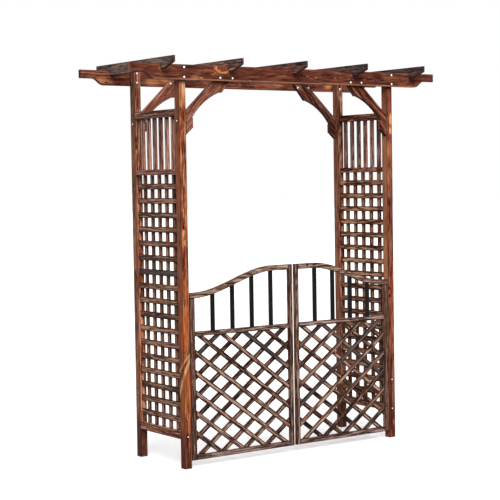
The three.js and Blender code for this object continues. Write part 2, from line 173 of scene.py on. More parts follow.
class Wire:
    """A socket's value in a material. Arithmetic on it adds Math nodes."""

    tree = None

    def __init__(self, socket):
        self.socket = socket

    @classmethod
    def node(cls, kind, settings, inputs, output=0):
        """A new node. Its settings are set first, then the values or links of its sockets."""
        made = cls.tree.nodes.new("ShaderNode" + kind)
        for key, value in settings.items():
            setattr(made, key, value)
        for key, value in inputs.items():
            if isinstance(value, Wire):
                cls.tree.links.new(value.socket, made.inputs[key])
            else:
                made.inputs[key].default_value = value
        return cls(made.outputs[output]) if len(made.outputs) else None

    def other(self, output):
        return Wire(self.socket.node.outputs[output])

    def maths(self, operation, *values):
        return Wire.node("Math", {"operation": operation}, dict(enumerate((self, *values))))

    def __add__(self, other):
        return self.maths("ADD", other)

    def __sub__(self, other):
        return self.maths("SUBTRACT", other)

    def __mul__(self, other):
        return self.maths("MULTIPLY", other)

    def __rsub__(self, other):
        return self * -1 + other

    __radd__, __rmul__ = __add__, __mul__

    def rise(self, start, end):
        """Nought at start, one at end, and a smooth slope between them."""
        settings = {"interpolation_type": "SMOOTHSTEP"}
        inputs = {"Value": self, "From Min": start, "From Max": end}
        return Wire.node("MapRange", settings, inputs)

    def vector(self, operation, *values, output=0):
        inputs = dict(enumerate((self, *values)))
        return Wire.node("VectorMath", {"operation": operation}, inputs, output)

    def scaled(self, x, y, z):
        return self.vector("MULTIPLY", (x, y, z))

    def away_from(self, place):
        return self.vector("SUBTRACT", place)

    def length(self):
        return self.vector("LENGTH", output="Value")

    def along(self, direction):
        return self.vector("DOT_PRODUCT", direction, output="Value")

    def part(self, axis):
        return Wire.node("SeparateXYZ", {}, {0: self}, axis)

    def noise(self, scales, detail=2.0, roughness=0.5):
        place = self.vector("MULTIPLY", scales)
        inputs = {"Vector": place, "Scale": 1.0, "Detail": detail, "Roughness": roughness}
        return Wire.node("TexNoise", {}, inputs)


def attribute(name, output="Fac"):
    return Wire.node("Attribute", {"attribute_name": name}, {}, output)


def mixed(share, first, second):
    """From the first colour to the second as share goes from nought to one."""
    inputs = {0: share, 6: first, 7: second}
    return Wire.node("Mix", {"data_type": "RGBA"}, inputs, 2)


def paint(hue, strength=1.0):
    """Red, green and blue as read off a screen, 0 to 255, as the linear colour of a socket."""
    screen = np.array(hue) / 255
    linear = np.where(screen <= 0.04045, screen / 12.92, ((screen + 0.055) / 1.055) ** 2.4)
    return (*(linear * strength).tolist(), 1.0)


def started(name):
    """A new material, whose tree takes the nodes that are made next."""
    material = bpy.data.materials.new(name)
    material.use_nodes = True
    Wire.tree = material.node_tree
    return material


def finished(material, colour, roughness, relief, strength, depth, **constants):
    """The looks go to the material's shader, relief through a bump of that strength and depth."""
    shader = material.node_tree.nodes["Principled BSDF"]
    bump = Wire.node("Bump", {}, {"Strength": strength, "Distance": depth, "Height": relief})
    for name, wire in (("Base Color", colour), ("Roughness", roughness), ("Normal", bump)):
        Wire.tree.links.new(wire.socket, shader.inputs[name])
    for name, value in constants.items():
        shader.inputs[name].default_value = value
    return material


# Near black: the colour of char and knots, and also of the painted shade on faces that turn
# downwards.
soot_and_painted_shade = paint((16, 7, 4))
# foot_darkening: the dark red-brown that the feet of two posts turn to, darker towards the bottom.
slate, foot_darkening, umber, russet = (92, 84, 84), (70, 26, 18), (84, 40, 26), (112, 50, 38)
tan, orange, pale = (210, 138, 90), (202, 108, 58), (244, 182, 124)
heart, ember, amber, cream = (104, 44, 26), (168, 92, 62), (224, 142, 84), (236, 190, 148)


class Figure:
    """The figure of brushed fir, on lengths along, across and through the board: short flecks,
    long streaks, fine fibres, knots with their haloes, the dark late wood of each ring, and from
    them the level, which is low where the wood is dark and high where it is pale."""

    ring_width = 0.012
    knot_cells = (8, 8, 8)
    flecks, streaks, clouds, fibres = (17, 118, 118), (6, 84, 84), (2.6, 15, 15), (14, 480, 480)

    def __init__(self, contrast, stretch, knots):
        self.grain, self.stretch = attribute("grain", "Vector"), stretch
        self.place = Wire.node("TexCoord", {}, {}, "Object")
        self.fleck = self.grain.noise(self.flecks, 3.0, 0.65)
        self.streak = self.grain.noise(self.streaks, 2.0, 0.6)
        self.fibre = self.grain.noise(self.fibres, 3.0)
        self.knot, self.halo = self.knotted(knots)
        self.late = self.late_wood()
        cloud = self.grain.noise(self.clouds)
        level = (cloud - 0.5) * (1.0 * contrast) + (self.streak - 0.5) * (1.9 * contrast)
        level = level + attribute("tone") + (self.fleck - 0.5) * (2.4 * contrast)
        self.level = level - (self.late - 0.3) * (0.55 * contrast)

    def ragged(self, distance, amount):
        """A distance made uneven by the flecks."""
        return distance + (self.fleck - 0.5) * amount

    def out_from(self, spot):
        return self.place.away_from(spot).scaled(*self.stretch).length()

    def knotted(self, knots):
        """One knot in some of the cells of a loose net, and those that the photograph shows."""
        cells = self.grain.scaled(*self.knot_cells)
        centre = Wire.node("TexVoronoi", {}, {"Vector": cells, "Scale": 1.0}, "Position")
        chosen = Wire.node("SeparateColor", {}, {0: centre.other("Color")}).rise(0.66, 0.68)
        offset = cells.away_from(centre)
        knot = self.ragged(offset.length(), 0.08).rise(0.10, 0.06) * chosen
        halo = offset.scaled(0.35, 1, 1).length().rise(0.34, 0.05) * chosen
        for *spot, radius in knots:
            out = self.ragged(self.out_from(spot), radius)
            knot = knot.maths("MAXIMUM", out.rise(radius * 1.1, radius * 0.7))
            halo = halo.maths("MAXIMUM", out.rise(radius * 3.0, radius * 0.9))
        return knot, halo

    def late_wood(self):
        """Rings about the pith, pushed aside by knots, with the slow wander of the tree."""
        wander = self.grain.noise((2.2, 9, 9)) * 0.05
        wander = wander + self.grain.noise((8, 24, 24)) * 0.02
        reach = self.grain.scaled(0, 1, 1).length() + wander + self.halo * 0.009
        phase = (reach * (1 / self.ring_width)).maths("FRACT")
        return phase.rise(0.3, 0.85) * phase.rise(1.0, 0.9)

    def grained(self, hue, low, high):
        """A colour that falls to half its strength as the level falls from high to low."""
        return mixed(self.level.rise(low, high), paint(hue, 0.5), paint(hue))

    def wash(self, colour, axis, start, end, amount, hue):
        """The wood turns to the hue as the coordinate goes from start to end."""
        turning = self.place.part(axis) + (self.streak - 0.5) * abs(end - start)
        return mixed(turning.rise(start, end) * amount, colour, self.grained(hue, 0.0, 0.9))

    def stain(self, colour, x, y, z, radius, amount, hue):
        out = self.ragged(self.out_from((x, y, z)), radius * 1.6)
        return mixed(out.rise(radius, radius * 0.4) * amount, colour, self.grained(hue, -0.1, 0.8))

    def band(self, colour, direction, offset, half, amount, hue):
        """The hue lies between two planes, half on each side of offset along the direction."""
        across = (self.place.along(direction) - offset).maths("ABSOLUTE")
        across = self.ragged(across, half * 1.8) + (self.streak - 0.5) * 0.02
        return mixed(across.rise(half, half * 0.1) * amount, colour, self.grained(hue, 0.0, 0.7))

    def burl(self, colour, x, y, z, radius):
        """A red heart with a dark rim, and pale spokes below it and to the left."""
        out = self.place.away_from((x, y, z)).scaled(0.6, 1, 1)
        spokes = out.vector("NORMALIZE").noise((4, 4, 4), 3.0, 0.7) * 0.6 + self.fleck * 0.4
        low_left = out.along((-0.6, 0, -0.8))
        out = self.ragged(out.length() + (self.streak - 0.5) * radius, radius * 0.8)
        fan = out.rise(radius * 1.9, radius * 1.2) * low_left.rise(-radius * 0.3, radius * 0.5)
        rim = out.rise(radius * 1.1, radius * 1.0) * low_left.rise(-radius * 0.5, 0)
        core = out.rise(radius * 0.95, radius * 0.8)
        spoke = mixed(spokes.rise(0.5, 0.62), paint(amber), paint(cream))
        colour = mixed(fan * spokes.rise(0.36, 0.5), colour, spoke)
        colour = mixed(rim, colour, paint(umber))
        return mixed(core, colour, mixed(self.level.rise(0.1, 0.9), paint(heart), paint(ember)))

    def ring(self, colour, x, y, z, radius):
        """The dark mark round a fastener, the same in each quarter of the arch."""
        out = self.place.vector("ABSOLUTE").away_from((x, y, z)).length()
        out = self.ragged(out, radius * 0.8)
        return mixed(out.rise(radius, radius * 0.6) * 0.75, colour, soot_and_painted_shade)


def timber(
    name, tones, contrast=1.0, sheen=0.66, char=0.6, soak=0.6, rub=0.6, stretch=(1, 1, 1),
    knots=(), washes=(), stains=(), bands=(), burls=(), rings=(),
):
    """Brushed fir in three tones, and slate grey where a board of the lowest tones has weathered.
    The arrises are charred at the very edge and rubbed paler just inside it, both in patches, and
    what faces down is darkened to near black as painted shade. Knots, stains, burls and rings are
    places in the part's frame, each with a radius; knots and stains are lengthened by stretch."""
    material = started(name)
    scorched, oiled, bright = map(paint, tones)
    figure = Figure(contrast, stretch, knots)
    level, fleck, fibre, edge = figure.level, figure.fleck, figure.fibre, attribute("edge")
    colour = mixed(level.rise(0.0, 0.5), scorched, oiled)
    colour = mixed(level.rise(0.5, 1.0), colour, bright)
    colour = mixed(fibre.rise(0.56, 0.72) * 0.4, colour, scorched)
    weathered = attribute("tone").rise(0.24, 0.12) * 0.8
    colour = mixed(weathered, colour, figure.grained(slate, -0.4, 0.6))
    for wash in washes:
        colour = figure.wash(colour, *wash)
    colour = mixed(figure.halo * fleck.rise(0.35, 0.6) * 0.6, colour, bright)
    for kind, marks in (("stain", stains), ("band", bands), ("burl", burls), ("ring", rings)):
        for mark in marks:
            colour = getattr(figure, kind)(colour, *mark)
    colour = mixed(figure.knot * 0.9, colour, soot_and_painted_shade)

    rubbed = edge.rise(0.15, 0.5) * edge.rise(0.95, 0.6) * figure.streak.rise(0.42, 0.6)
    colour = mixed(rubbed * rub, colour, bright)
    charred = edge.rise(soak, (soak + 1) / 2) * fleck.rise(0.2, 0.55)
    colour = mixed(charred * char, colour, soot_and_painted_shade)
    # Painted shade: faces that turn downwards are darkened towards near black.
    facing_for_painted_underside_shade = Wire.node("NewGeometry", {}, {}, "Normal").part("Z")
    colour = mixed(facing_for_painted_underside_shade.rise(-0.4, -0.8) * 0.8, colour, soot_and_painted_shade)

    relief = figure.late * 0.5 + fibre * 0.6 - figure.knot * 0.6
    roughness = sheen + (fibre - 0.5) * 0.35 - figure.late * 0.08
    gloss = {"Specular IOR Level": 0.08}
    return finished(material, colour, roughness, relief, strength=0.45, depth=0.0008, **gloss)


left, right, front, back = "left", "right", "front", "back"
mirrors = {left: -1, right: 1}
opening_half, bay_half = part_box("back_right_post")[0].xy
post_outer, post_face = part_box("back_right_post")[1].xy
post_middle, bay_middle = (opening_half + post_outer) / 2, (bay_half + post_face) / 2
post_arris = 0.0025
post_bolt_levels = (2.099, 2.151)
rail_screw_level = 0.173
upright_stretch = (1, 1, 0.35)
post_tones = {
    (front, left): ((72, 24, 11), (150, 76, 46), (204, 136, 98)),
    (front, right): ((66, 24, 14), (116, 58, 40), (166, 98, 70)),
    (back, left): ((60, 22, 13), (154, 90, 66), (226, 158, 124)),
    (back, right): ((58, 18, 8), (124, 70, 50), (198, 138, 112)),
}

# Marks on the front face: x, z and radius, and for a stain its strength and hue.
post_knots = {
    (front, left): [
        (-0.745, 0.668, 0.003), (-0.742, 0.630, 0.003), (-0.732, 1.30, 0.005),
        (-0.738, 1.93, 0.004),
    ],
    (front, right): [(0.722, 0.99, 0.004)],
    (back, left): [(-0.738, 1.74, 0.006)],
    (back, right): [],
}
post_stains = {
    (front, left): [
        (-0.719, 2.060, 0.024, 1.0, (254, 188, 138)), (-0.738, 1.91, 0.014, 0.6, umber),
        (-0.722, 1.72, 0.020, 0.5, umber), (-0.736, 1.50, 0.020, 0.5, umber),
        (-0.734, 1.27, 0.010, 0.8, pale), (-0.730, 1.22, 0.008, 0.7, pale),
        (-0.732, 1.33, 0.014, 0.6, umber), (-0.718, 0.98, 0.030, 0.6, orange),
        (-0.730, 0.80, 0.036, 0.75, orange), (-0.740, 0.70, 0.036, 0.8, orange),
        (-0.725, 0.46, 0.036, 0.75, orange), (-0.740, 0.36, 0.034, 0.6, orange),
    ],
    (front, right): [
        (0.742, 1.89, 0.017, 0.95, pale), (0.736, 1.83, 0.011, 0.9, pale),
        (0.722, 1.72, 0.024, 0.6, tan), (0.718, 1.56, 0.024, 0.5, tan),
        (0.747, 1.66, 0.015, 0.8, russet), (0.747, 1.58, 0.016, 0.8, russet),
        (0.747, 1.50, 0.017, 0.8, russet), (0.747, 1.41, 0.018, 0.8, russet),
        (0.744, 1.31, 0.018, 0.8, russet), (0.738, 1.21, 0.018, 0.7, russet),
        (0.745, 0.94, 0.014, 0.7, orange),
        *[(0.745, z, 0.015, 0.7, orange) for z in (0.84, 0.74, 0.64, 0.54)],
        (0.745, 0.44, 0.014, 0.7, orange), (0.738, 0.09, 0.008, 0.8, tan),
        (0.726, 0.60, 0.016, 0.5, russet),
    ],
    (back, left): [
        (-0.738, 1.76, 0.014, 0.7, umber), (-0.728, 1.66, 0.010, 0.5, tan),
        (-0.716, 0.98, 0.012, 0.9, orange), (-0.720, 0.70, 0.020, 0.6, orange),
        (-0.712, 0.40, 0.010, 0.8, tan), (-0.738, 0.48, 0.012, 0.7, umber),
    ],
    (back, right): [(0.738, 1.90, 0.030, 0.6, umber), (0.722, 1.60, 0.012, 0.6, tan)],
}
# Washes: axis, start, end, strength and hue. The X washes of the left posts darken the outer -X
# side, which is turned from the light: painted shade. The Z washes near the floor make the feet
# darker towards the bottom.
post_washes = {
    (front, left): [
        ("Z", 1.90, 2.02, 0.75, (230, 150, 100)),
        # Painted shade: the X wash darkens the outer -X side, turned from the light.
        ("X", -0.742, -0.7495, 0.75, (142, 84, 58)), ("Z", 0.24, 0.06, 0.85, foot_darkening),
    ],
    (front, right): [
        ("X", 0.7085, 0.7065, 0.8, (196, 132, 98)),
        ("Z", 1.88, 1.98, 0.7, (150, 82, 60)), ("Z", 0.34, 0.12, 0.8, (96, 38, 26)),
    ],
    (back, left): [
        # Painted shade: the X wash darkens the outer -X side, turned from the light.
        ("X", -0.742, -0.7495, 0.7, (118, 82, 66)), ("Z", 0.30, 0.16, 0.85, (62, 27, 21)),
    ],
    (back, right): [("X", 0.7085, 0.7065, 0.6, (150, 100, 78)), ("Z", 0.34, 0.10, 0.6, foot_darkening)],
}
post_bands = {
    (front, left): [
        ((-1.73, 1.73, 1), 1.410, 0.028, 0.9, umber), ((-1.15, 1.15, 1), 1.146, 0.011, 0.9, pale),
        ((-2.3, 2.3, 1), 1.649, 0.034, 0.9, pale),
    ],
}
post_rings = [(post_middle, bay_half, z, 0.013) for z in post_bolt_levels]
post_rings.append((post_middle, post_face, rail_screw_level, 0.008))


def on_face(y, marks):
    """Marks given by x and z, set at depth y."""
    return [(x, y, z, *rest) for x, z, *rest in marks]


for (end, side), tones in post_tones.items():
    node = f"{end}_{side}_post"
    low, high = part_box(node)
    finish = timber(
        f"oiled fir, {end} {side} post", tones, stretch=upright_stretch,
        knots=on_face(low.y, post_knots[end, side]), washes=post_washes[end, side],
        stains=on_face(low.y, post_stains[end, side]), bands=post_bands.get((end, side), ()),
        rings=post_rings,
    )
    shaft = bar(low, high, (0, 1), post_arris)
    fit(node, [shaft], finish, "post")


# Beams: two long fir boards on edge, bolted to the posts' outer faces. The ends are sawn to a thin
# nose that swells in an ogee, and each rafter drops into a slot in the upper edge.

rafter_count = 5
rafters = [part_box(f"rafter_{i + 1}") for i in range(rafter_count)]
beam_nose_height, beam_nose_length, beam_ogee_length = 0.046, 0.070, 0.085
slot_clearance, slot_depth, beam_arris = 0.0003, 0.0145, 0.002
curve_steps = 24


def ogee(x0, z0, x1, z1):
    """A level start and a level finish: z eases from z0 to z1 as x goes from x0 to x1."""
    t = np.linspace(0, 1, curve_steps)
    ease = 3 * t**2 - 2 * t**3
    blend = 1.5 * t - 1.5 * t**2 + t**3
    return np.stack([x0 + (x1 - x0) * blend, z0 + (z1 - z0) * ease], 1)


def beam_outline(low, high):
    """Level along the bottom, an ogee up to each nose, and a slot in the top for each rafter."""
    nose = high.z - beam_nose_height
    swell_end = high.x - beam_nose_length
    swell = ogee(swell_end - beam_ogee_length, low.z, swell_end, nose)
    half = (rafters[0][1].x - rafters[0][0].x) / 2 + slot_clearance
    floor = high.z - slot_depth
    top = []
    for near, far in reversed(rafters):
        x = (near.x + far.x) / 2
        top += [(x + half, high.z), (x + half, floor), (x - half, floor), (x - half, high.z)]
    return np.concatenate([
        swell, [(high.x, nose), (high.x, high.z)], top, [(low.x, high.z), (low.x, nose)],
        (swell * (-1, 1))[::-1],
    ])


beam_tones = {
    front: ((62, 24, 14), (102, 53, 40), (146, 88, 65)),
    back: ((62, 22, 13), (112, 60, 46), (172, 112, 83)),
}
level_stretch = (0.4, 1, 1)
beam_knots = {
    front: [(0.66, 2.118, 0.005), (0.60, 2.118, 0.004)],
    back: [(-0.90, 2.10, 0.005)],
}
beam_stains = {
    front: [
        (-0.66, 2.10, 0.014, 0.5, tan), (-0.545, 2.118, 0.004, 0.8, amber),
        (-0.530, 2.126, 0.004, 0.8, amber), (-0.86, 2.14, 0.016, 0.5, tan),
        (-0.62, 2.098, 0.006, 0.8, tan), (0.16, 2.120, 0.005, 0.8, tan),
        (0.30, 2.122, 0.005, 0.8, tan), (0.52, 2.120, 0.005, 0.8, tan),
        (0.10, 2.126, 0.004, 0.7, cream), (0.40, 2.118, 0.004, 0.7, tan),
        (-0.30, 2.090, 0.005, 0.8, tan), (0.02, 2.152, 0.005, 0.8, tan),
        (0.22, 2.145, 0.018, 0.5, umber), (0.62, 2.138, 0.020, 0.6, umber),
        (-0.20, 2.140, 0.018, 0.5, umber),
    ],
    back: [
        (-0.93, 2.11, 0.022, 0.7, tan), (-0.60, 2.11, 0.024, 0.7, tan),
        (0.672, 2.112, 0.014, 0.9, tan), (-0.52, 2.12, 0.016, 0.6, tan),
    ],
}
beam_washes = {
    front: [
        ("X", -1.0583, -1.0597, 0.8, (148, 114, 102)), ("Z", 2.0925, 2.0890, 0.8, (216, 152, 116)),
    ],
    back: [("X", -1.0583, -1.0597, 0.85, (44, 30, 26))],
}
beam_burls = {front: [(-0.480, 2.156, 0.020)], back: []}
brace_bolt_places, brace_bolt_rise = (0.416, 0.496), 0.017
bolt_ring = 0.012

for end, tones in beam_tones.items():
    low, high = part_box(f"{end}_beam")
    outer = post_face + high.y - low.y
    spots = [(post_middle, z) for z in post_bolt_levels]
    spots += [(x, low.z + brace_bolt_rise) for x in brace_bolt_places]
    finish = timber(
        f"oiled fir, {end} beam", tones, contrast=0.65, char=0.3, rub=0.9, stretch=level_stretch,
        knots=on_face(low.y, beam_knots[end]), washes=beam_washes[end],
        stains=on_face(low.y, beam_stains[end]), burls=on_face(low.y, beam_burls[end]),
        rings=[(x, outer, z, bolt_ring) for x, z in spots],
    )
    plank = board(beam_outline(low, high), low.y, high.y, (1, 0), beam_arris)
    fit(f"{end}_beam", [plank], finish, "beam")

# Rafters: five thinner boards on edge across the beams, weathered to charcoal. Each end has a
# short upright nose over a slanting cut, and the lower edge is notched where it crosses a beam.

rafter_nose, rafter_taper, notch_depth, rafter_arris = 0.034, 0.090, 0.0148, 0.0015
beam_span = (post_face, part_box("back_beam")[1].y + slot_clearance)
rafter_tones = [
    ((44, 27, 21), (94, 75, 70), (148, 122, 112)),
    ((42, 30, 28), (94, 70, 67), (170, 132, 118)),
    ((50, 24, 18), (106, 70, 63), (164, 122, 112)),
    ((30, 20, 19), (74, 58, 56), (128, 102, 96)),
    ((14, 7, 6), (66, 50, 49), (108, 90, 88)),
]


def rafter_outline(low, high):
    """An upright nose, a slanting cut down to the lower edge, and a notch over each beam."""
    inner, outer = beam_span
    notch = low.z + notch_depth
    under = [(outer, low.z), (outer, notch), (inner, notch), (inner, low.z)]
    end = [(high.y, high.z), (high.y, high.z - rafter_nose), (high.y - rafter_taper, low.z)]
    half = np.array(end + under)
    return np.concatenate([half[::-1], half * (-1, 1)])


for i, ((low, high), tones) in enumerate(zip(rafters, rafter_tones)):
    node = f"rafter_{i + 1}"
    finish = timber(f"weathered fir, {node}", tones, contrast=0.7, sheen=0.7, char=0.9, soak=0.3)
    plank = board(rafter_outline(low, high), low.x, high.x, (1, 0), rafter_arris, "yz")
    fit(node, [plank], finish, "rafter")

# Knee braces: four brackets bandsawn from a thick board, with a straight back edge and a hollow
# front edge between two small quirks. Each is screwed to its post and bolted to its beam.

brace_reach, brace_rise = 0.316, 0.036
brace_drop, brace_back, brace_back_reach = 0.290, 0.165, 0.217
brace_nose, brace_nose_drop = 0.236, 0.056
brace_toe, brace_toe_top, brace_toe_length = 0.042, 0.200, 0.050
brace_hollow, brace_quirk = 0.020, 0.004
brace_arris = 0.002
fitted = 0.0003
beam_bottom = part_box("front_beam")[0].z


def brace_outline(side):
    """The bracket on the right, from the corner of post and beam, or its mirror image. Its hollow
    edge leaves the chord from nose to toe by four times the hollow's depth times t * (1 - t)."""
    nose = np.array([brace_nose - brace_quirk, -brace_nose_drop])
    toe = np.array([brace_toe, brace_quirk - brace_toe_top])
    chord = toe - nose
    inward = np.array([chord[1], -chord[0]]) / np.linalg.norm(chord)
    t = np.linspace(0, 1, curve_steps)[:, None]
    hollow = nose + chord * t + inward * 4 * brace_hollow * t * (1 - t)
    step = brace_toe + brace_quirk
    points = np.concatenate([
        [(fitted, -brace_back), (brace_back_reach, brace_rise), (brace_reach, brace_rise)],
        [(brace_nose, -brace_nose_drop - brace_quirk)], hollow,
        [(step, -brace_toe_top), (step, -brace_toe_top - brace_toe_length), (fitted, -brace_drop)],
    ])
    points = points * (-1, 1) + (opening_half, beam_bottom)
    return points if side == right else (points * (-1, 1))[::-1]


brace_tones = {
    (front, left): ((60, 20, 12), (140, 86, 68), (180, 122, 100)),
    (back, left): ((84, 40, 28), (154, 96, 76), (190, 130, 104)),
    (front, right): ((46, 12, 5), (112, 56, 39), (186, 122, 94)),
    (back, right): ((44, 12, 6), (88, 42, 31), (154, 104, 84)),
}

for (end, side), tones in brace_tones.items():
    node = f"{end}_{side}_brace"
    low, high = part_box(node)
    inner = min(abs(low.y), abs(high.y))
    finish = timber(
        f"oiled fir, {end} {side} brace", tones, contrast=0.85,
        rings=[(x, inner, beam_bottom + brace_bolt_rise, bolt_ring) for x in brace_bolt_places],
    )
    fall = (1, 1) if side == left else (1, -1)
    bracket = board(brace_outline(side), low.y, high.y, fall, brace_arris)
    fit(node, [bracket], finish, "brace")

# Side panels: on each side a rail above and below, and a middle rail with six square slats standing
# in it. They are sawn fir, darker than the posts, with the rails flush with the posts' outer faces.

slat_count, slat_width, slat_depth, slat_tenon = 6, 0.020, 0.018, 0.001
panel_mid_rail_height = 0.030
rail_arris, slat_arris = 0.0015, 0.001
panel_tones = {
    (left, "top"): ((68, 36, 28), (132, 90, 76), (186, 138, 122)),
    (right, "top"): ((40, 10, 4), (110, 54, 40), (196, 134, 110)),
    (left, "bottom"): ((70, 34, 22), (134, 82, 64), (188, 138, 120)),
    (right, "bottom"): ((44, 10, 4), (128, 72, 56), (208, 160, 142)),
}
slat_tones = {
    left: ((98, 58, 47), (180, 128, 110), (228, 180, 162)),
    right: ((72, 38, 28), (142, 94, 77), (204, 160, 142)),
}
slat_contrasts = {left: 0.8, right: 1.15}


def evenly(count, width, low, high):
    """The middles of count strips of one width, with equal gaps between low and high."""
    gap = (high - low - count * width) / (count + 1)
    return low + gap + width / 2 + (gap + width) * np.arange(count)


def varied(middle=0.5, spread=0.12):
    """A board's own tone, drawn at random about the middle one."""
    return draws.normal(middle, spread)


for side, mirror in mirrors.items():
    for rail in ("bottom", "top"):
        node = f"{side}_panel_{rail}_rail"
        finish = timber(f"sawn fir, {side} panel {rail} rail", panel_tones[side, rail], sheen=0.7)
        fit(node, [bar(*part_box(node), (1, 0), rail_arris, "yz")], finish, "panel")
    node = f"{side}_panel_slats"
    low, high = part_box(node)
    seam = mirror * post_middle
    rail_high = high.copy()
    rail_high.z = low.z + panel_mid_rail_height
    mid = bar(low, rail_high, (1, 0), rail_arris, "yz")
    add(f"{side}_panel_mid_rail_timber", [mid], finish)
    slats = [
        board(
            rectangle(y - slat_width / 2, rail_high.z - slat_tenon, y + slat_width / 2, high.z),
            seam - slat_depth / 2, seam + slat_depth / 2, (0, 1), slat_arris, "yz", varied(),
        )
        for y in evenly(slat_count, slat_width, -bay_half, bay_half)
    ]
    finish = timber(
        f"sawn fir, {side} slats", slat_tones[side], contrast=slat_contrasts[side], sheen=0.7,
        char=0.8, soak=0.3,
    )
    fit(node, slats, finish, "panel")

# Side lattices: thin laths nailed across each other in a square net, each with its own tone. Both
# panels are made alike, with the level laths on their left face.

level_count, upright_count = 17, 5
level_width, upright_width = 0.032, 0.028
lath_thickness, lath_arris, lath_margin = 0.009, 0.0008, 0.006
row_tones = {left: [0.62] * 7 + [0.33] * 10, right: [0.60] * 7 + [0.36] * 2 + [0.48] * 8}
column_tones = {left: 0.58, right: 0.60}
lattice_low, lattice_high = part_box("left_panel_lattice")
rows = evenly(level_count, level_width, lattice_low.z, lattice_high.z)
columns = evenly(upright_count, upright_width, -bay_half, bay_half)
lattice_tones = {
    left: ((50, 38, 34), (122, 82, 64), (190, 142, 118)),
    right: ((48, 26, 20), (136, 86, 60), (210, 160, 130)),
}

for side, mirror in mirrors.items():
    node = f"{side}_panel_lattice"
    low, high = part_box(node)
    seam = mirror * post_middle
    half = level_width / 2
    laths = [
        board(
            rectangle(low.y, z - half, high.y, z + half), seam - lath_thickness, seam, (1, 0),
            lath_arris, "yz", varied(tone), lath_margin,
        )
        for z, tone in zip(rows, row_tones[side])
    ]
    half = upright_width / 2
    laths += [
        board(
            rectangle(y - half, low.z, y + half, high.z), seam, seam + lath_thickness, (0, 1),
            lath_arris, "yz", varied(column_tones[side]), lath_margin,
        )
        for y in columns
    ]
    finish = timber(
        f"sawn fir, {side} lattice", lattice_tones[side], contrast=1.2, sheen=0.72, char=0.95,
        soak=0.1,
    )
    fit(node, laths, finish, "panel")

# Gate frames: each leaf has a hinge stile, a full-height meeting stile, two level rails and a top
# rail bandsawn to a smooth swell. The stained wood has weathered to taupe.

gate_bodies = {left: "left_gate", right: "right_gate"}
gate_arris = 0.0015
hinge_stile_width, meeting_stile_width = 0.032, 0.026
top_rail_depth, crown_share = 0.030, 0.8
frame_spread, top_rail_tone = 0.08, 0.55
(_, gate_front, _), (leaf_end, gate_back, crown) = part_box("left_gate_meeting_stile")
gate_seam = (gate_front + gate_back) / 2
leaf_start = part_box("left_gate_hinge_stile")[0].x
leaf_width = leaf_end - leaf_start
hinge_end = 0.948
gate_tones = {
    "hinge_stile": ((38, 18, 10), (92, 60, 47), (148, 114, 98)),
    "meeting_stile": ((40, 16, 8), (94, 62, 49), (168, 130, 112)),
    "top_rail": ((46, 26, 17), (112, 82, 69), (192, 156, 136)),
    "mid_rail": ((40, 22, 14), (110, 82, 70), (184, 154, 142)),
    "bottom_rail": ((50, 31, 25), (116, 88, 80), (168, 138, 130)),
}
gate_finishes = {
    piece: timber(f"stained fir, gate {piece}", tones, sheen=0.7, char=0.8, soak=0.4)
    for piece, tones in gate_tones.items()
}


def top_edge(u):
    """Level over the hinge stile, then a rise to the crown that eases as t**2 * (3 - 2 * t)."""
    t = np.clip((u - hinge_stile_width) / (leaf_width * crown_share - hinge_stile_width), 0, 1)
    return hinge_end + (crown - hinge_end) * t**2 * (3 - 2 * t)


def lower_edge(u):
    """The upper edge dropped so far that the rail keeps its depth square to the curve."""
    step = hinge_stile_width / 4
    slope = (top_edge(u + step) - top_edge(u - step)) / (2 * step)
    return top_edge(u) - top_rail_depth * np.hypot(1, slope)


def hung(points, side):
    """An outline drawn across a leaf from its hinge edge, placed on the left or right post."""
    points = np.asarray(points, float) + (leaf_start, 0)
    return points if side == left else (points * (-1, 1))[::-1]


for side in mirrors:
    for piece in ("hinge_stile", "meeting_stile", "mid_rail", "bottom_rail"):
        node = f"{side}_gate_{piece}"
        low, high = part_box(node)
        low.y, high.y = gate_front, gate_back
        along = (0, 1) if "stile" in piece else (1, 0)
        plank = bar(low, high, along, gate_arris, tone=varied(spread=frame_spread))
        fit(node, [plank], gate_finishes[piece], "gate", gate_bodies[side])
    u = np.linspace(0, leaf_width - meeting_stile_width - fitted, 2 * curve_steps)
    lower, upper = np.stack([u, lower_edge(u)], 1), np.stack([u, top_edge(u)], 1)
    swept = hung(np.concatenate([lower, upper[::-1]]), side)
    rail = board(swept, gate_front, gate_back, (1, 0), gate_arris, tone=top_rail_tone)
    fit(f"{side}_gate_top_rail", [rail], gate_finishes["top_rail"], "gate", gate_bodies[side])

# Balusters: four slender square bars in each leaf, stained near black, between the middle rail and
# the top rail, their upper ends cut to the rail's curve.

baluster_count, baluster_size, baluster_arris = 4, 0.019, 0.0015
baluster_tones = ((4, 4, 4), (11, 10, 10), (38, 34, 33))
ebony = timber("black stained fir, balusters", baluster_tones, contrast=0.5, sheen=0.5)

for side in mirrors:
    middles = evenly(
        baluster_count, baluster_size, hinge_stile_width, leaf_width - meeting_stile_width,
    )
    for i, u in enumerate(middles):
        node = f"{side}_gate_baluster_{i + 1}"
        low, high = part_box(node)
        across = np.linspace(u + baluster_size / 2, u - baluster_size / 2, 3)
        cut = np.stack([across, lower_edge(across) - fitted], 1)
        outline = np.concatenate([[(across[-1], low.z), (across[0], low.z)], cut])
        stick = board(hung(outline, side), low.y, high.y, (0, 1), baluster_arris)
        fit(node, [stick], ebony, "baluster", gate_bodies[side])

# Gate lattices: two layers of thin laths, a pitch apart on each diagonal, let into the frame and
# nailed at the crossings. The falling laths lie in front on the left leaf; the right mirrors it.

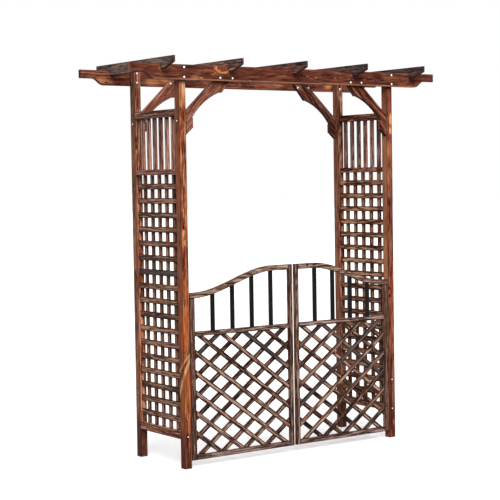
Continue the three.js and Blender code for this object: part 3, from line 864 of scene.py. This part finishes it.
pitch_across, pitch_up = 0.148, 0.110
gate_lath_width, gate_lath_margin, shortest_lath = 0.025, 0.007, 0.060
gate_lattice_tones = ((26, 14, 10), (112, 74, 58), (190, 150, 130))
layer_tones = {left: {-1: 0.58, 1: 0.34}, right: {-1: 0.46, 1: 0.40}}
lath_spread = 0.15
greyed, greyed_tone = (left, -1, 3), 0.1
stain_depth = -0.24
gate_stains = {
    left: [(-0.42, 0.40, 0.020, 0.6, (150, 70, 44)), (-0.52, 0.33, 0.022, 0.6, tan)],
    right: [(0.05, 0.66, 0.030, 0.8, orange), (0.08, 0.60, 0.020, 0.7, tan)],
}


def trimmed(polygon, low, high):
    """A convex polygon cut along the four edges of a rectangle, one after another."""
    for axis, sign, limit in ((0, 1, low[0]), (0, -1, -high[0]), (1, 1, low[1]), (1, -1, -high[1])):
        kept = []
        for a, b in zip(polygon, np.roll(polygon, -1, 0)):
            da, db = sign * a[axis] - limit, sign * b[axis] - limit
            if da >= 0:
                kept.append(a)
            if da * db < 0:
                kept.append(a + (b - a) * da / (da - db))
        polygon = np.array(kept)
    return polygon


slope = math.atan2(pitch_up, pitch_across)
for side, mirror in mirrors.items():
    node = f"{side}_gate_lattice"
    low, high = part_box(node)
    middle = np.array((low.xz + high.xz) / 2)
    width, height = high.x - low.x, high.z - low.z
    reach = height / 2 + math.tan(slope) * width / 2 - shortest_lath * math.sin(slope)
    each = math.floor(reach / pitch_up)
    laths = []
    for fall, near in ((-1, gate_seam - lath_thickness), (1, gate_seam)):
        along = np.array([math.cos(slope), -mirror * fall * math.sin(slope)])
        across = np.array([-along[1], along[0]])
        for k in range(-each, each + 1):
            strip = rectangle(-1, -1, 1, 1) @ [along * width, across * gate_lath_width / 2]
            strip = trimmed(strip + middle + (0, k * pitch_up), low.xz, high.xz)
            marked = (side, fall, k) == greyed
            tone = greyed_tone if marked else varied(layer_tones[side][fall], lath_spread)
            far = near + lath_thickness
            laths.append(board(strip, near, far, along, lath_arris, "xz", tone, gate_lath_margin))
    finish = timber(
        f"stained fir, {side} gate lattice", gate_lattice_tones, contrast=1.35, sheen=0.7,
        char=0.95, soak=0.1, stains=on_face(stain_depth, gate_stains[side]),
    )
    fit(node, laths, finish, "gate", gate_bodies[side])

# Bolts: zinc-plated coach bolts with domed heads, two through each beam and post and two through
# each beam and brace. On the inner side each has a washer, a hexagon nut and a short end of thread.

head_radius, head_height, head_flat = 0.0064, 0.0035, 0.06
head_turn, head_steps = math.pi / 2, 8
washer_radius, washer_thickness, washer_bevel = 0.007, 0.0015, 0.000375
nut_radius, nut_height, nut_chamfer, nut_sides = 0.0055, 0.005, 0.00066, 6
thread_radius, thread_pitch, thread_depth, thread_end = 0.003, 0.001, 0.0003, 0.003
round_sides = 32
outwards = {front: -1, back: 1}


def turned(profile, centre, axis, sides=round_sides):
    """A turned piece: each radius and height of the profile is carried round the axis, so that a
    point is centre + axis * height + radius * (cos a, sin a) in the plane square to the axis."""
    profile, axis = np.asarray(profile, float), np.asarray(axis, float)
    first = np.roll(np.abs(axis), 1)
    second = np.cross(axis, first)
    angle = np.linspace(0, 2 * math.pi, sides, endpoint=False)[:, None]
    rim = first * np.cos(angle) + second * np.sin(angle)
    points = centre + profile[:, 1, None, None] * axis + profile[:, 0, None, None] * rim
    return closed(points, True, points, np.zeros(points.shape[:2]), 0.0)


def domed(radius, height, start, turn, steps):
    """A dome's profile: radius * cos a and start + height * sin a, for a from nought to turn."""
    a = np.linspace(0, turn, steps)
    return np.stack([radius * np.cos(a), start + height * np.sin(a)], 1)


def drum(radius, low, high, bevel, *place):
    """A turned disc or barrel, both its rims bevelled."""
    inner = radius - bevel
    profile = [(inner, low), (radius, low + bevel), (radius, high - bevel), (inner, high)]
    return turned(profile, *place)


def zinc(name, lustre=0.3, dull=(232, 232, 232), fresh=(250, 250, 248)):
    """Zinc plate: bright metal with a faint mottle and a finer scatter of dull specks."""
    material = started(name)
    place = Wire.node("TexCoord", {}, {}, "Object")
    mottle = place.noise((260, 260, 260), 3.0)
    speck = place.noise((1400, 1400, 1400))
    colour = mixed(mottle.rise(0.3, 0.7), paint(dull), paint(fresh))
    colour = mixed(speck.rise(0.62, 0.75) * 0.3, colour, paint((170, 168, 164)))
    roughness = lustre + (mottle - 0.5) * 0.3
    return finished(material, colour, roughness, speck, strength=0.2, depth=0.0002, Metallic=0.6)


def coach_bolt(x, z, outward, outer, inner):
    """Dome, shank, washer, nut and thread along Y, from the outer face of the wood to the inner."""
    place = (x, 0, z), (0, outward, 0)
    under = inner - washer_thickness
    tip = under - nut_height
    shank = [(thread_radius, under), (thread_radius, outer)]
    head = domed(head_radius, head_height, outer, head_turn, head_steps)[:-1]
    flat = (head_radius * head_flat, outer + head_height)
    nut = [(nut_radius - nut_chamfer, tip), (nut_radius, tip + nut_chamfer), (nut_radius, under)]
    turns = np.arange(tip - thread_end, tip + thread_pitch, thread_pitch / 2)
    ridge = thread_radius - thread_depth * (np.arange(len(turns)) % 2)
    return [
        turned([*shank, *head, flat], *place),
        drum(washer_radius, under, inner, washer_bevel, *place),
        turned(nut, *place, nut_sides),
        turned(np.stack([ridge, turns], 1), *place),
    ]


bolt_zinc = zinc("zinc plate, bolts")
brace_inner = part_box("back_left_brace")[0].y
quarters = [(end, outward, side) for end, outward in outwards.items() for side in mirrors]
for end, outward, side in quarters:
    for level in ("upper", "lower"):
        node = f"{end}_{side}_{level}_bolt"
        low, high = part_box(node)
        x, _, z = (low + high) / 2
        outer = max(abs(low.y), abs(high.y)) - head_height
        bolt = coach_bolt(x, z, outward, outer, bay_half - fitted)
        fit(node, bolt, bolt_zinc, "steel")
for end, outward, side in quarters:
    for i, x in enumerate(brace_bolt_places):
        x, z = mirrors[side] * x, beam_bottom + brace_bolt_rise
        bolt = coach_bolt(x, z, outward, outer, brace_inner - fitted)
        add(f"{end}_{side}_brace_bolt_{i + 1}", bolt, bolt_zinc)

# Screws: round-headed zinc screws through the posts into the feet of the braces and the ends of the
# panel rails, each with a driver recess.

screw_radius, screw_height = 0.0042, 0.0022
screw_turn, screw_steps, screw_sides = math.pi / 2.4, 6, 20
recess_shares = np.array([(0.8, 0.5), (0.3, 0.4)])
brace_screw_level = 1.870
rail_screw_levels = {(front, right): (rail_screw_level, 0.347)}


def screw(centre, axis, radius=screw_radius, height=screw_height):
    """A low dome with a small recess in its middle."""
    dome = domed(radius, height, 0, screw_turn, screw_steps)
    recess = recess_shares * (dome[-1, 0], height)
    return turned([*dome, *recess], centre, axis, screw_sides)


for end, outward, side in quarters:
    mirror = mirrors[side]
    spot = (mirror * post_outer, outward * bay_middle, brace_screw_level)
    heads = [screw(spot, (mirror, 0, 0))]
    for z in rail_screw_levels.get((end, side), (rail_screw_level,)):
        heads.append(screw((mirror * post_middle, outward * post_face, z), (0, outward, 0)))
    add(f"{end}_{side}_post_screws", heads, bolt_zinc)

# Nails: one small flat-headed nail at each crossing of the lattices, its zinc tarnished. Each is
# driven a little off the middle of its crossing.

nail_radius, nail_height, nail_sides = 0.0016, 0.0005, 10
nail_top_radius, nail_shoulder = 0.00128, 0.0003
nail_stray = 0.0015
farthest_lath = 12
tarnished = zinc("tarnished zinc, nails", 0.5, (96, 84, 76), (168, 156, 146))


def nail(centre, axis):
    """A thin disc with a rounded upper edge."""
    profile = [(nail_radius, 0), (nail_radius, nail_shoulder), (nail_top_radius, nail_height)]
    stray = draws.normal(0, nail_stray, 3) * (1 - np.abs(axis))
    return turned(profile, centre + stray, axis, nail_sides)


for side, mirror in mirrors.items():
    face = mirror * post_middle - lath_thickness
    nails = [nail((face, y, z), (-1, 0, 0)) for z in rows for y in columns]
    add(f"{side}_panel_lattice_nails", nails, tarnished)
    low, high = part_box(f"{side}_gate_lattice")
    middle, margin = (low + high) / 2, gate_lath_width / 2
    numbers = range(-farthest_lath, farthest_lath + 1)
    crossings = [
        (middle.x + (i - j) * pitch_across / 2, middle.z + (i + j) * pitch_up / 2)
        for i in numbers for j in numbers
    ]
    nails = [
        nail((x, gate_seam - lath_thickness, z), (0, -1, 0)) for x, z in crossings
        if low.x + margin < x < high.x - margin and low.z + margin < z < high.z - margin
    ]
    add(f"{side}_gate_lattice_nails", nails, tarnished, gate_bodies[side])

# Hinges: two narrow zinc butt hinges on the back of each leaf. Each has three rolled knuckles on a
# pin; the outer two and the pin belong to the plate on the post.

hinge_plate, plate_arris = 0.002, 0.0004
knuckle_radius, pin_radius = 0.0045, 0.0024
knuckle_gap = 0.0005
knuckle_share, hinge_screw_share, hinge_dome_share = 1 / 3, 0.7, 1 / 3
hinge_zinc = zinc("zinc plate, hinges", 0.36)
post_screw, leaf_screw = 0.0022, 0.0032


def plate(u0, z0, u1, z1, face, plane="xz"):
    """A flat of a hinge between two upright edges, in the thickness of the face."""
    u0, u1 = sorted((u0, u1))
    return board(rectangle(u0, z0, u1, z1), *face, (0, 1), plate_arris, plane)


for side, mirror in mirrors.items():
    joint = next(j for j in frame["joints"] if j["child"] == gate_bodies[side])
    axis_x, axis_y = joint["pos_m"][:2]
    pin = (axis_x, axis_y, 0), (0, 0, 1)
    jamb = mirror * (opening_half - fitted)
    plate_face = jamb - mirror * hinge_plate
    clear = axis_y + knuckle_radius + knuckle_gap
    for level in ("lower", "upper"):
        node = f"{side}_gate_{level}_hinge"
        low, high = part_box(f"{node}_post_half")
        middle, half = (low.z + high.z) / 2, (high.z - low.z) / 2
        floor, top = middle - half * knuckle_share, middle + half * knuckle_share
        levels = (middle - half * hinge_screw_share, middle, middle + half * hinge_screw_share)
        face = sorted((jamb, plate_face))
        pin_ends = [(pin_radius, low.z + knuckle_gap), (pin_radius, high.z - knuckle_gap)]
        parts = [plate(clear, low.z, high.y, high.z, face, "yz"), turned(pin_ends, *pin)]
        for z0, z1 in ((low.z, floor - knuckle_gap), (top + knuckle_gap, high.z)):
            parts.append(drum(knuckle_radius, z0, z1, knuckle_gap, *pin))
            parts.append(plate(axis_y, z0, clear + knuckle_gap, z1, face, "yz"))
        for z in levels:
            spot = (plate_face, (clear + high.y) / 2, z)
            parts.append(screw(spot, (-mirror, 0, 0), post_screw, post_screw * hinge_dome_share))
        fit(f"{node}_post_half", parts, hinge_zinc, "steel")

        low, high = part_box(f"{node}_gate_half")
        edge = mirror * (abs(axis_x) - knuckle_radius - knuckle_gap)
        far = low.x if side == right else high.x
        face = (gate_back + fitted, gate_back + fitted + hinge_plate)
        parts = [
            plate(far, low.z, edge, high.z, face),
            plate(edge - mirror * knuckle_gap, floor, axis_x, top, face),
            drum(knuckle_radius, floor, top, knuckle_gap, *pin),
        ]
        for z in levels:
            spot = ((edge + far) / 2, face[1], z)
            parts.append(screw(spot, (0, 1, 0), leaf_screw, leaf_screw * hinge_dome_share))
        fit(f"{node}_gate_half", parts, hinge_zinc, "steel", gate_bodies[side])

# Ground: a wide plain white floor, which keeps the arch's shadow. To everything but the camera it
# is dark, so that little light comes back up from it.

floor_half = 60.0
floor_lift = 0.2
seen_grey, lit_grey = 0.96, 0.07


def seen_directly():
    """One for rays of the camera and for mirrored or refracted ones, and nought for the rest."""
    path = Wire.node("LightPath", {}, {}, "Is Camera Ray")
    sum_of_rays = path + path.other("Is Glossy Ray") + path.other("Is Transmission Ray")
    return sum_of_rays.maths("MINIMUM", 1.0)


def grey(strength):
    """An even grey as the linear colour of a socket."""
    return (strength, strength, strength, 1.0)


ground = bpy.data.meshes.new("floor")
corners = rectangle(-floor_half, -floor_half, floor_half, floor_half)
ground.from_pydata([(x, y, 0) for x, y in corners.tolist()], [], [[0, 1, 2, 3]])
shown("floor", ground)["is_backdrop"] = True
ground.materials.append(started("white floor"))
Wire.tree.nodes.clear()
matt = Wire.node("BsdfDiffuse", {}, {"Color": grey(seen_grey)})
glow = Wire.node("Emission", {}, {"Color": grey(1.0), "Strength": floor_lift})
seen = Wire.node("AddShader", {}, {0: matt, 1: glow})
dark = Wire.node("BsdfDiffuse", {}, {"Color": grey(lit_grey)})
whole = Wire.node("MixShader", {}, {0: seen_directly(), 1: dark, 2: seen})
Wire.node("OutputMaterial", {}, {"Surface": whole})

# Light: a white surround for the camera, and a soft even fill for everything else. Of two broad
# suns, the strong one stands in front and the weak one behind.

fill = 0.42
suns = {"key": ((-0.46, -0.84, 0.66), 3.3, 40), "rim": ((0.75, 0.70, 0.60), 1.5, 60)}
world = bpy.data.worlds.new("white surround")
bpy.context.scene.world = world
world.use_nodes = True
Wire.tree = world.node_tree
Wire.tree.nodes.clear()
surround = Wire.node("Background", {}, {"Color": grey(1.0), "Strength": 1.0})
soft = Wire.node("Background", {}, {"Color": grey(1.0), "Strength": fill})
both = Wire.node("MixShader", {}, {0: seen_directly(), 1: soft, 2: surround})
Wire.node("OutputWorld", {}, {"Surface": both})
for name, (towards, strength, spread) in suns.items():
    lamp = bpy.data.lights.new(name, "SUN")
    lamp.energy, lamp.angle = strength, math.radians(spread)
    turn = Vector(towards).to_track_quat("Z", "Y")
    shown(name, lamp).matrix_world = turn.to_matrix().to_4x4()

# Camera: the photograph's view, from the front left at head height. Its place, turn and focal
# length come from a fit to about forty points of the photograph, in metres, radians and pixels.

photo_width = 500
eye = (-4.8667, -6.6169, 1.5470)
yaw, pitch, roll = 0.6222, -0.0490, 0.0162
focal = 1421.6
sensor = 36.0
ahead = np.array([
    math.sin(yaw) * math.cos(pitch), math.cos(yaw) * math.cos(pitch), math.sin(pitch),
])
level = np.array([math.cos(yaw), -math.sin(yaw), 0])
upright = np.cross(level, ahead)
rightwards = math.cos(roll) * level - math.sin(roll) * upright
upwards = math.sin(roll) * level + math.cos(roll) * upright
view = bpy.data.cameras.new("photograph")
view.sensor_width, view.lens = sensor, focal / photo_width * sensor
stand = Matrix(np.stack([rightwards, upwards, -ahead], 1).tolist()).to_4x4()
stand.translation = eye
camera = shown("photograph", view)
camera.matrix_world = stand
bpy.context.scene.camera = camera
bpy.context.scene.view_settings.view_transform = "Standard"

low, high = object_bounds()
